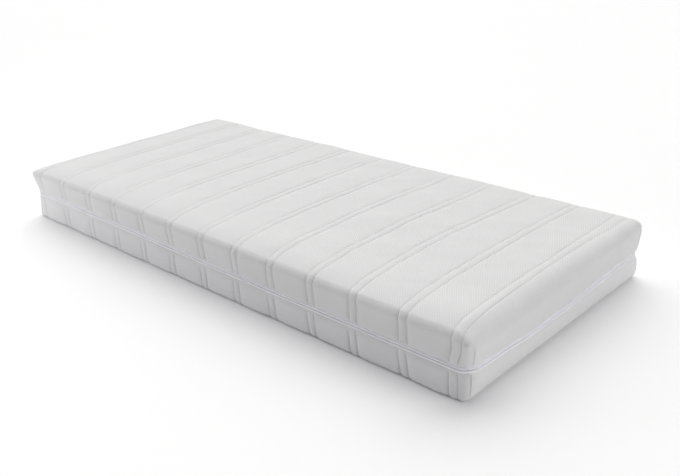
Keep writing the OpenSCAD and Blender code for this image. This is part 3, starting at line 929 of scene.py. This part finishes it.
def zip_coil(name, sign, body, node):
    """A continuous nylon coil sewn on the inner side of the tape."""
    low_c, high_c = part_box(node)
    middle = sign * abs((low_c.z + high_c.z) / 2 - ZIP_Z)
    half_w = (high_c.z - low_c.z) / 2 - COIL_WIRE
    half_d = COIL_HALF - COIL_WIRE
    p, n = COIL_PATH
    s = run_of(p)
    turns = int(s[-1] / COIL_PITCH)
    at = np.arange(turns * COIL_STEPS + 1) / COIL_STEPS
    pos = at * s[-1] / turns
    q = read_at(pos, s, p)
    m = unit(read_at(pos, s, n))
    a = at * 2 * math.pi
    centre = along_zip((q, m), COIL_DEPTH + half_d * np.sin(a), middle + half_w * np.cos(a))
    tangent = unit(np.gradient(centre, axis=0))
    out = np.column_stack([m, np.zeros(len(m))])
    side = unit(np.cross(tangent, out + [0, 0, 0.01]))
    other = unit(np.cross(side, tangent))
    obj = add_mesh(name, *tube(centre, side, other, COIL_WIRE), COIL)
    stands_for(obj, body, node)


zip_coil("upper_coil", 1, "cover_top", "upper_zip_coil")
zip_coil("lower_coil", -1, "cover_base", "lower_zip_coil")

TAB_HALF_T = 0.00030
TAB_ROOM = 0.00005  # it stays this far inside its CAD solid across,
TAB_TOP_ROOM = 0.0002  # at the top
TAB_END_ROOM = 0.0003  # and at its two ends
TAB_ROOT = 0.0035  # its short root stands this high behind the flap
TAB_CREASE = (0.00006, 12, 0.004, 0.012)  # given as the cover's unevenness is


def end_tab():
    """The small cloth tab over the zip's ends: folded at its foot, root to the tape and flap outside."""
    low_c, high_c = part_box("zip_end_tab")
    back_y = low_c.y + TAB_HALF_T + TAB_ROOM
    front_y = high_c.y - TAB_HALF_T - TAB_ROOM
    fold = (front_y - back_y) / 2
    foot = low_c.z + fold + TAB_HALF_T
    path = [(back_y, foot + TAB_ROOT * (1 - k / 6)) for k in range(6)]
    path += [(back_y + fold - fold * math.cos(math.pi * k / 12), foot - fold * math.sin(math.pi * k / 12))
             for k in range(13)]
    path += [(front_y, foot + (high_c.z - TAB_TOP_ROOM - foot) * k / 12) for k in range(1, 13)]
    path = np.array(path)
    along = unit(np.gradient(path, axis=0))
    side = np.column_stack([-along[:, 1], along[:, 0]])
    ring = np.concatenate([path + side * TAB_HALF_T, (path - side * TAB_HALF_T)[::-1]])
    run = run_of(path)
    xs = np.linspace(low_c.x + TAB_END_ROOM, high_c.x - TAB_END_ROOM, 23)
    points = np.array([(x, y, z) for x in xs for y, z in ring])
    crease = TAB_CREASE[0] * waves(points, 41, *TAB_CREASE[1:])
    points[:, 1] += crease * (points[:, 2] > foot + 0.001)
    faces, uv = swept(xs, np.concatenate([run, run[::-1]]))
    obj = add_mesh("end_tab", points, faces, CLOTH, uv.reshape(-1, 2))
    stands_for(obj, "cover_base", "zip_end_tab")


end_tab()

for node in ("slider_body", "slider_pull", "zip_stops"):
    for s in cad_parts[node].material_slots:
        s.material = METAL


# ---- the foam core
ZONE_LOW = high("base_foam").z
ZONE_TOP = low("comfort_layer").z
RAIL_IN = low("left_side_rail").y
CORE_DEPTH = TOP - CORE_TOP
SLIT = 0.005
CELL_DEPTH = 0.030
FAR_PAST = 0.01  # cuts reach this far past the face that they open
HINGE_SLIT, HINGE_DEPTH = 0.008, 0.025
NEAR_EDGE = (0.003, 0.007, 0.012, 0.018, 0.026)  # grid lines at the core's edges, where they are rounded
NEAR_CORNER = (*NEAR_EDGE, 0.036, 0.048, 0.062, 0.080)
CLOSEST = 0.0012  # grid lines closer together than this are left out
CORE_STEP = 0.045
WORN_EDGE = 0.0012


def carved(name, node, material, low_c, high_c, cuts):
    """A foam block with slits and cells cut out of it, rounded off as the core is."""
    marks = []
    for axis, edge in enumerate((CORE_X, CORE_Y, CORE_TOP)):
        lines = {round(low_c[axis], 6), round(high_c[axis], 6)}
        for a, b in cuts:
            lines |= {round(v[axis], 6) for v in (a, b) if low_c[axis] < v[axis] < high_c[axis]}
        for d in NEAR_CORNER if axis < 2 else NEAR_EDGE:
            lines |= {round(v, 6) for v in (edge - d, d - edge) if low_c[axis] < v < high_c[axis]}
        ordered = [min(lines)]
        for v in sorted(lines)[1:]:
            if v - ordered[-1] > CLOSEST:
                ordered.append(v)
        marks.append(filled(ordered, CORE_STEP))
    xs, ys, zs = marks
    mid = [(m[1:] + m[:-1]) / 2 for m in marks]
    cx, cy, cz = np.meshgrid(*mid, indexing="ij")
    solid = np.ones(cx.shape, dtype=bool)
    for a, b in cuts:
        solid &= ~((cx > a[0]) & (cx < b[0]) & (cy > a[1]) & (cy < b[1]) & (cz > a[2]) & (cz < b[2]))
    around = np.pad(solid, 1)
    grid = (len(xs), len(ys), len(zs))
    faces = []
    for axis in range(3):
        e1, e2 = np.eye(3, dtype=int)[[(axis + 1) % 3, (axis + 2) % 3]]
        for side in (0, 1):
            step = np.zeros(3, dtype=int)
            step[axis] = 1 if side else -1
            other = around[tuple(slice(1 + d, n + 1 + d) for d, n in zip(step, solid.shape))]
            i = np.stack(np.nonzero(solid & ~other), axis=1)
            base = i.copy()
            base[:, axis] += side
            quad = [base, base + e1, base + e1 + e2, base + e2]
            if not side:
                quad = quad[::-1]
            faces.append(np.stack([np.ravel_multi_index(q.T, grid) for q in quad], axis=1))
    faces = np.concatenate(faces)
    used, where = np.unique(faces, return_inverse=True)
    i, j, k = np.unravel_index(used, grid)
    p = shape(xs[i], ys[j], zs[k], CORE_DEPTH, zip_line=False)
    obj = add_mesh(name, p, where.reshape(-1, 4), material, sharp=35)
    bevel = obj.modifiers.new("worn_edges", "BEVEL")
    bevel.width = WORN_EDGE
    bevel.segments = 2
    bevel.limit_method = "ANGLE"
    bevel.angle_limit = math.radians(50)
    stands_for(obj, "core", node)


def slits(axis, places, width, z0, z1):
    """Boxes to cut out: slits right across the mattress at places on X, axis 0, or right along it on Y."""
    boxes = []
    for at in places:
        a, b = [-2, -2, z0], [2, 2, z1]
        a[axis], b[axis] = at - width / 2, at + width / 2
        boxes.append((a, b))
    return boxes


# Each zone's insert: spacing and depth of its slits, its foam and its slot
ZONES = [("head_zone_insert", 0.075, 0.025, ZONE_FOAM, "zone_foam"),
         ("torso_zone_insert", 0.060, 0.032, ZONE_FOAM, "zone_foam"),
         ("seat_zone_insert", 0.0525, 0.038, SOFT_FOAM, "soft_zone_foam"),
         ("leg_zone_insert", 0.056, 0.030, ZONE_FOAM, "zone_foam"),
         ("heel_zone_insert", 0.040, 0.042, SOFT_FOAM, "soft_zone_foam")]
HEEL_CELLS = 16

hinges = slits(0, [low(z[0]).x for z in ZONES[1:]], HINGE_SLIT, CORE_LOW - FAR_PAST, CORE_LOW + HINGE_DEPTH)
carved("base_block", "base_foam", BASE_FOAM, (-CORE_X, -CORE_Y, CORE_LOW),
       (CORE_X, CORE_Y, ZONE_LOW), hinges)
for node, sign in (("left_side_rail", 1), ("right_side_rail", -1)):
    y0, y1 = sorted((sign * RAIL_IN, sign * CORE_Y))
    carved(node.replace("side_rail", "rail_block"), node, RAIL_FOAM, (-CORE_X, y0, ZONE_LOW),
           (CORE_X, y1, ZONE_TOP), [])
for node, pitch, deep, material, slot in ZONES:
    x0, x1 = low(node).x, high(node).x
    count = math.floor(((x1 - x0) / 2 - pitch / 4) / pitch)
    opening = (SLIT, ZONE_TOP - deep, ZONE_TOP + FAR_PAST)
    cuts = slits(0, [(x0 + x1) / 2 + k * pitch for k in range(-count, count + 1)], *opening)
    if node == "heel_zone_insert":
        cell = 2 * RAIL_IN / HEEL_CELLS
        cuts += slits(1, [-RAIL_IN + k * cell for k in range(1, HEEL_CELLS)], *opening)
    carved(node.replace("_insert", "_block"), node, material, (x0, -RAIL_IN, ZONE_LOW),
           (x1, RAIL_IN, ZONE_TOP), cuts)
CELLS = (20, 9)  # of the top layer, along X and Y
opening = (SLIT, CORE_TOP - CELL_DEPTH, CORE_TOP + FAR_PAST)
cuts = []
for axis, half in enumerate((CORE_X, CORE_Y)):
    cuts += slits(axis, [-half + k * 2 * half / CELLS[axis] for k in range(1, CELLS[axis])], *opening)
carved("comfort_block", "comfort_layer", VISCO, (-CORE_X, -CORE_Y, ZONE_TOP),
       (CORE_X, CORE_Y, CORE_TOP), cuts)

# ---- floor, light and camera
floor_mat = Mat("floor", (0.985, 0.985, 0.985), 0.75, 0.0002, specular=0.2)
floor_grain = floor_mat.noise(floor_mat.place(), 40.0, 3.0)
floor_mat.finish(floor_grain, floor_mat.noise(floor_mat.place(), 1.2, 2.0), 0.004)
FLOOR_HALF = 40.0
floor = add_mesh("floor", np.array([[-1, -1, 0], [1, -1, 0], [1, 1, 0], [-1, 1, 0]]) * FLOOR_HALF,
                 [[0, 1, 2, 3]], floor_mat.mat)

world = bpy.data.worlds.new("studio")
world.use_nodes = True
bpy.context.scene.world = world
back = world.node_tree.nodes["Background"]
back.inputs["Color"].default_value = (0.90, 0.87, 1.0, 1)
back.inputs["Strength"].default_value = 0.155


def sun(name, source, strength, spread, colour):
    """A soft light from far away, which shines from the direction of source."""
    data = bpy.data.lights.new(name, "SUN")
    data.energy = strength
    data.angle = math.radians(spread)
    data.color = colour
    added(name, data).rotation_euler = Vector(source).to_track_quat("Z", "Y").to_euler()


sun("key", (-0.55, 0.75, 1.0), 1.80, 75, (1.0, 0.997, 0.972))
sun("head_sky", (-1.0, 0.35, 1.0), 1.25, 90, (1.0, 0.997, 0.972))
sun("end_fill", (1.0, 0.15, 0.50), 1.10, 60, (1.0, 0.998, 0.98))
fill_data = bpy.data.lights.new("head_fill", "AREA")
fill_data.energy = 17.7
fill_data.size = 0.8
head_fill = added("head_fill", fill_data)
head_fill.location = (-2.4, -1.9, 0.45)
aim = Vector((-0.9, -0.45, 0.1))
head_fill.rotation_euler = (head_fill.location - aim).to_track_quat("Z", "Y").to_euler()

SENSOR_W = 36
PICTURE_W = 680  # the picture's width, and the focal length in the same units
F_PIXELS = 835.9388
CAMERA_AT = Vector((1.92354, -1.83548, 1.14429))
YAW, PITCH, ROLL = math.radians(-43.647), math.radians(23.157), math.radians(-2.131)
forward = Vector((math.sin(YAW) * math.cos(PITCH), math.cos(YAW) * math.cos(PITCH), -math.sin(PITCH)))
level = Vector((math.cos(YAW), -math.sin(YAW), 0))
upright = level.cross(forward)
right = level * math.cos(ROLL) + upright * math.sin(ROLL)
upward = upright * math.cos(ROLL) - level * math.sin(ROLL)
cam_data = bpy.data.cameras.new("camera")
cam_data.sensor_width = SENSOR_W
cam_data.lens = F_PIXELS * SENSOR_W / PICTURE_W
cam_data.clip_end = 200
camera = added("camera", cam_data)
axes = (right, upward, -forward, CAMERA_AT)
camera.matrix_world = Matrix([[v[c] for v in axes] for c in range(3)] + [[0, 0, 0, 1]])
bpy.context.scene.camera = camera
bpy.context.scene.view_settings.view_transform = "Standard"
